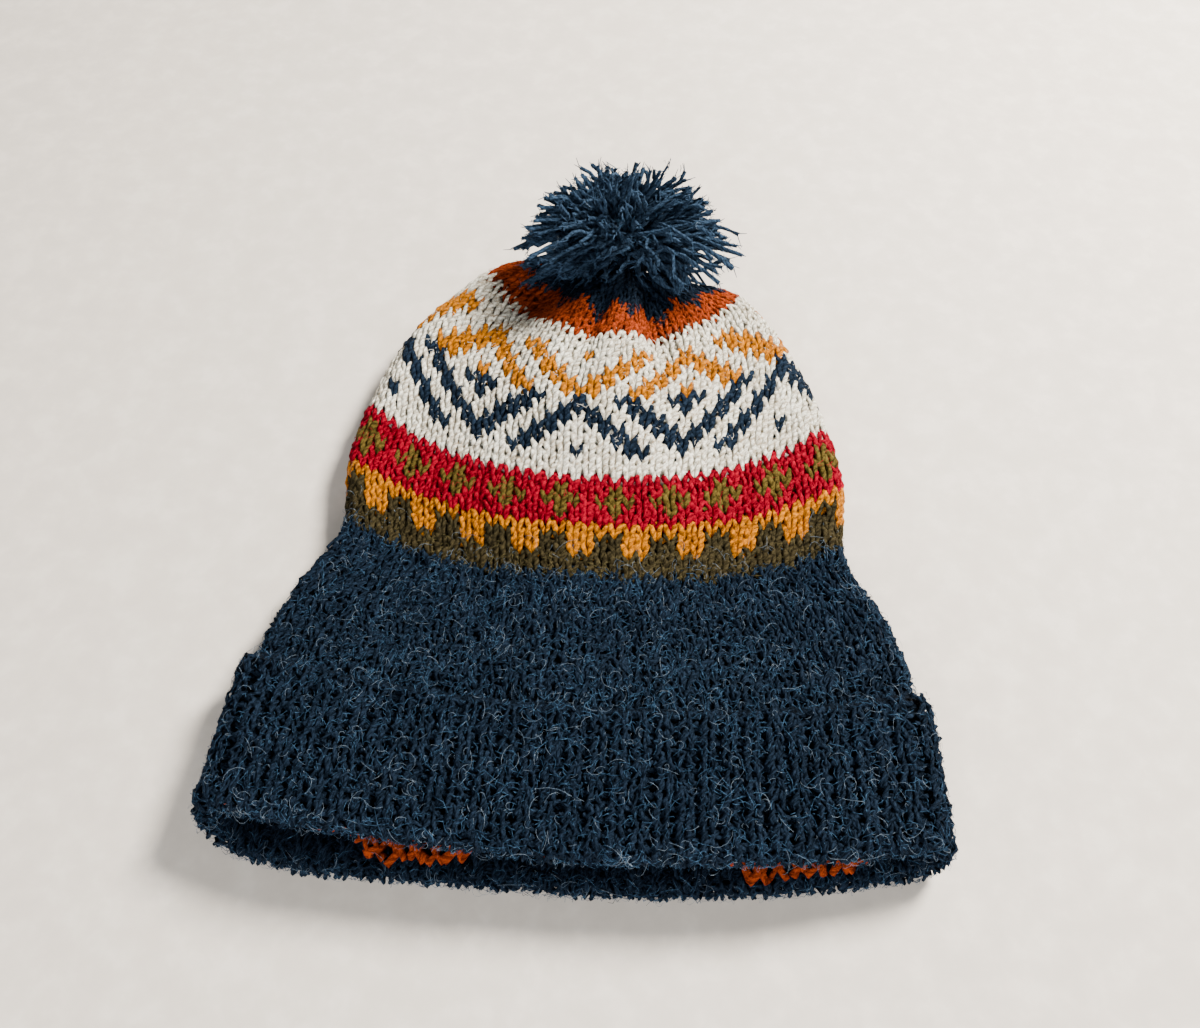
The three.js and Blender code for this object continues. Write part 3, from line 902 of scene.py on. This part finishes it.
def add_core():
    """A round core in the navy skins' wool, darkened as painted shade, so that no light shows through between
    the strands.
    """
    along = np.linspace(CORE_START, CORE_END, CORE_RINGS)
    core = (knot + along[:, None] * fan)[None]
    radius = CORE_RADIUS * np.sin(math.pi * np.linspace(0.03, 0.97, CORE_RINGS))[None] ** 0.6
    points = tube_points(core, radius, CORE_SIDES, np.array([1.0, 0.0, 0.0])).reshape(-1, 3)
    thing = make_object("pompom_core", points, tube_faces(1, CORE_RINGS, CORE_SIDES), shaded_skin_materials[0])
    add(thing, "pompom_yarn")


pompom_paths = strand_paths()
tie_strands(pompom_paths)
add_core()


# Loose fibres on the wool, which lie just over its surface
FIBRE_OUT = 0.1
FIBRE_FLOOR = 0.03
FIBRE_DRIFT = 1.1
FIBRE_CLOSING = 0.35
FIBRE_BASE = 0.3
FIBRE_SIDE = 0.13
NOSE_SHARE = 0.15


def fibre_mesh(name, path, radius, material, slot):
    """Thin three-sided tubes that taper to their ends."""
    rings = path.shape[1]
    taper = 0.35 + 0.65 * np.sin(math.pi * np.linspace(0.04, 0.96, rings)) ** 0.5
    spin = unit(rng.normal(0, 1, (len(path), 1, 3)))
    points = above_floor(tube_points(path, radius * taper, 3, spin), FIBRE_FLOOR).reshape(-1, 3)
    add(make_object(name, points, tube_faces(len(path), rings, 3), material), slot)


def curls(count, rings, size, turns, lift, surface_of):
    """Curly paths over a surface. surface_of gives places on it, with directions across, along and up."""
    origin, across, along, up = surface_of(count)
    s = np.linspace(0, 1, rings)[None, :, None]
    turn = rng.uniform(turns[0], turns[1], (count, 1, 1)) * 2 * math.pi * rng.choice([-1, 1], (count, 1, 1))
    begin = rng.uniform(0, 2 * math.pi, (count, 1, 1))
    reach = rng.uniform(size[0], size[1], (count, 1, 1))
    angle = begin + turn * s
    drift = rng.normal(0, FIBRE_DRIFT, (count, 1, 2)) * reach * s[..., [0, 0]]
    x = reach * np.cos(angle) * (1 - FIBRE_CLOSING * s) + drift[..., :1]
    y = reach * np.sin(angle) * (1 - FIBRE_CLOSING * s) + drift[..., 1:]
    height = rng.uniform(lift[0], lift[1], (count, 1, 1)) * np.sin(math.pi * s) + FIBRE_BASE
    return origin[:, None] + x * across[:, None] + y * along[:, None] + height * up[:, None]


def frame_on(surface, column, row, step):
    """Places just over a surface, with directions across, along and up."""
    out = np.full(len(row), FIBRE_OUT)
    origin = surface(column, row, out)
    up = unit(surface(column, row, out + 1.0) - origin)
    across = unit(surface(column + step, row, out) - origin)
    return origin, across, np.cross(up, across), up


def on_body(low, high):
    """Picks places between two rows of the body, off its underside."""
    def pick(count):
        row = rng.uniform(low, high, count)
        around = rng.uniform(FIBRE_SIDE, 1 - FIBRE_SIDE, count)
        return frame_on(lambda c, r, out: place(r, c, out), around, row, 0.002)
    return pick


def on_cuff(count):
    """Picks places on the cuff, with a share of their own for its fold."""
    row = rng.uniform(INSIDE_RUN, INSIDE_RUN + NOSE_RUN + FACE_RUN + 1, count)
    on_nose = rng.uniform(INSIDE_RUN, INSIDE_RUN + NOSE_RUN, count)
    row = np.where(rng.random(count) < NOSE_SHARE, on_nose, row)
    column = rng.uniform(0, RIB_COUNT, count)
    return frame_on(cuff_surface, column, row, 0.1)


def frayed_ends(per_strand):
    """Short paths that spread from the cut ends of the pompom's strands."""
    ends = np.repeat(pompom_paths[:, -1], per_strand, axis=0)
    heading = np.repeat(unit(pompom_paths[:, -1] - pompom_paths[:, -3]), per_strand, axis=0)
    count = len(ends)
    heading = unit(heading + rng.normal(0, 0.34, (count, 3)))
    start = ends - 1.6 * heading + rng.normal(0, 0.4, (count, 3))
    s = np.linspace(0, 1, 3)[None, :, None]
    length = rng.uniform(2.0, 4.6, (count, 1, 1))
    return start[:, None] + length * (s * heading[:, None] + s * s * rng.normal(0, 0.25, (count, 1, 3)))


def on_pompom(count):
    strand = rng.integers(0, len(pompom_paths), count)
    ring = rng.integers(5, pompom_paths.shape[1], count)
    origin = pompom_paths[strand, ring]
    up = unit(origin - knot - 10 * fan)
    across = unit(np.cross(up, rng.normal(0, 1, (count, 3))))
    return origin, across, np.cross(up, across), up


def loose(name, dark, light):
    """Wool of single fibres, with no ply to show."""
    return wool(name, srgb(*dark), srgb(*light), 0.85, 0.2, 0.1, False)


kemp = loose("kemp", (62, 78, 94), (136, 148, 158))
down = {
    "navy": loose("down_navy", (10, 26, 42), (62, 90, 114)),
    "olive": loose("down_olive", (36, 31, 15), (106, 96, 62)),
    "cream": loose("down_cream", (200, 190, 172), (254, 250, 242)),
    "rust": loose("down_rust", (106, 35, 10), (190, 86, 37)),
    "red": loose("down_red", (100, 3, 20), (190, 28, 54)),
    "gold": loose("down_gold", (122, 70, 6), (206, 150, 40)),
}

on_lower, on_kemp_rows = on_body(0.19, 0.42), on_body(0.2, 0.46)
on_teeth, on_crosses, on_waves, on_points = (
    on_body(*rows) for rows in ((0.41, 0.45), (0.5, 0.57), (0.58, 0.845), (0.85, 0.9))
)

# Fibres: name, yarn or kemp, how many, rings, curl size, turns, lift, radius, where and slot. Size,
# lift and radius are in millimetres.
FIBRES = (
    ("kemp_cuff", "kemp", 1250, 6, (0.5, 3.0), (0.12, 0.75), (0.3, 2.4), 0.048, on_cuff, "cuff_knit"),
    ("kemp_body", "kemp", 950, 6, (0.5, 3.0), (0.12, 0.75), (0.3, 2.2), 0.048, on_kemp_rows, "body_knit"),
    ("kemp_pompom", "kemp", 160, 7, (0.8, 2.8), (0.2, 0.8), (0.3, 1.4), 0.06, on_pompom, "pompom_yarn"),
    ("down_cuff", "navy", 6400, 3, (0.7, 2.2), (0.12, 0.4), (0.2, 1.3), 0.1, on_cuff, "cuff_knit"),
    ("down_body", "navy", 5400, 3, (0.7, 2.2), (0.12, 0.4), (0.2, 1.2), 0.1, on_lower, "body_knit"),
    ("down_pompom", "navy", 3400, 3, (0.7, 2.0), (0.12, 0.4), (0.2, 1.4), 0.09, on_pompom, "pompom_yarn"),
    ("down_teeth", "olive", 1100, 3, (0.6, 1.8), (0.12, 0.4), (0.2, 1.0), 0.09, on_teeth, "body_knit"),
    ("down_crosses", "red", 1000, 3, (0.6, 1.6), (0.12, 0.4), (0.2, 0.9), 0.08, on_crosses, "body_knit"),
    ("down_waves", "cream", 2000, 3, (0.5, 1.5), (0.12, 0.4), (0.2, 0.8), 0.07, on_waves, "body_knit"),
    ("down_points", "rust", 1200, 3, (0.5, 1.6), (0.12, 0.4), (0.2, 1.0), 0.08, on_points, "body_knit"),
)


FRAYED_COUNT, FRAYED_RADIUS = 3, 0.22


def add_fibres():
    frayed = frayed_ends(FRAYED_COUNT)
    # Frayed ends in the pompom's yarn, the navy painted lighter against the strands' shade
    fibre_mesh("frayed_pompom", frayed, FRAYED_RADIUS, yarn_materials["pompom"], "pompom_yarn")
    for name, yarn, count, rings, size, turns, lift, radius, where, slot in FIBRES:
        material = kemp if yarn == "kemp" else down[yarn]
        fibre_mesh(name, curls(count, rings, size, turns, lift, where), radius, material, slot)


add_fibres()

# Floor, lights and camera
FLOOR_HALF = 3.0
floor_corners = [(x * FLOOR_HALF, y * FLOOR_HALF, 0) for x, y in ((-1, -1), (1, -1), (1, 1), (-1, 1))]
floor_mesh = bpy.data.meshes.new("floor")
floor_mesh.from_pydata(floor_corners, [], [(0, 1, 2, 3)])
floor_mesh.materials.append(wool(
    "floor_paint", srgb(188, 179, 167), srgb(199, 190, 178), roughness=0.85, sheen=0.0, bump=0.05,
    streak=False, scale=60.0,
))
floor = bpy.data.objects.new("floor", floor_mesh)
bpy.context.scene.collection.objects.link(floor)

# Lights: name, place and aim in metres, size, power and colour
LIGHTS = (
    ("window", (0.75, 0.6, 0.95), (0, 0, 0), 0.42, 106.0, (1.0, 0.965, 0.915)),
    ("room", (-0.4, -1.1, 0.65), (0, 0, 0), 1.2, 17.0, (0.95, 0.97, 1.0)),
    ("front", (0.1, -0.9, 0.2), (0, -0.1, 0), 0.7, 13.0, (0.97, 0.98, 1.0)),
)
WORLD_COLOUR, WORLD_STRENGTH = (0.9, 0.93, 1.0), 0.22


def add_light(name, at, towards, size, power, colour):
    light = bpy.data.lights.new(name, "AREA")
    light.shape = "DISK"
    light.size = size
    light.energy = power
    light.color = colour
    lamp = bpy.data.objects.new(name, light)
    lamp.location = at
    lamp.rotation_euler = (Vector(towards) - Vector(at)).to_track_quat("-Z", "Y").to_euler()
    bpy.context.scene.collection.objects.link(lamp)


for settings in LIGHTS:
    add_light(*settings)
world = bpy.data.worlds.new("studio")
world.use_nodes = True
world.node_tree.nodes["Background"].inputs["Color"].default_value = (*WORLD_COLOUR, 1)
world.node_tree.nodes["Background"].inputs["Strength"].default_value = WORLD_STRENGTH
bpy.context.scene.world = world

# The camera as fitted to the photograph: its place is in millimetres from the construction's origin
CAMERA_TILT = math.radians(58.0)
CAMERA_TURN = math.radians(3.954)
CAMERA_PLACE = (18.2, -106.3, 407.4)
CAMERA_LENS, CAMERA_SENSOR = 34.5, 36.0
camera_data = bpy.data.cameras.new("camera")
camera_data.sensor_width = CAMERA_SENSOR
camera_data.lens = CAMERA_LENS
camera = bpy.data.objects.new("camera", camera_data)
level = math.cos(CAMERA_TILT)
forward = Vector((-math.sin(CAMERA_TURN) * level, math.cos(CAMERA_TURN) * level, -math.sin(CAMERA_TILT)))
right = Vector((math.cos(CAMERA_TURN), math.sin(CAMERA_TURN), 0))
above = right.cross(forward)
spot = (np.array(CAMERA_PLACE) + SHIFT) * MM
camera.matrix_world = Matrix((
    (right.x, above.x, -forward.x, spot[0]),
    (right.y, above.y, -forward.y, spot[1]),
    (right.z, above.z, -forward.z, spot[2]),
    (0, 0, 0, 1),
))
bpy.context.scene.collection.objects.link(camera)
bpy.context.scene.camera = camera
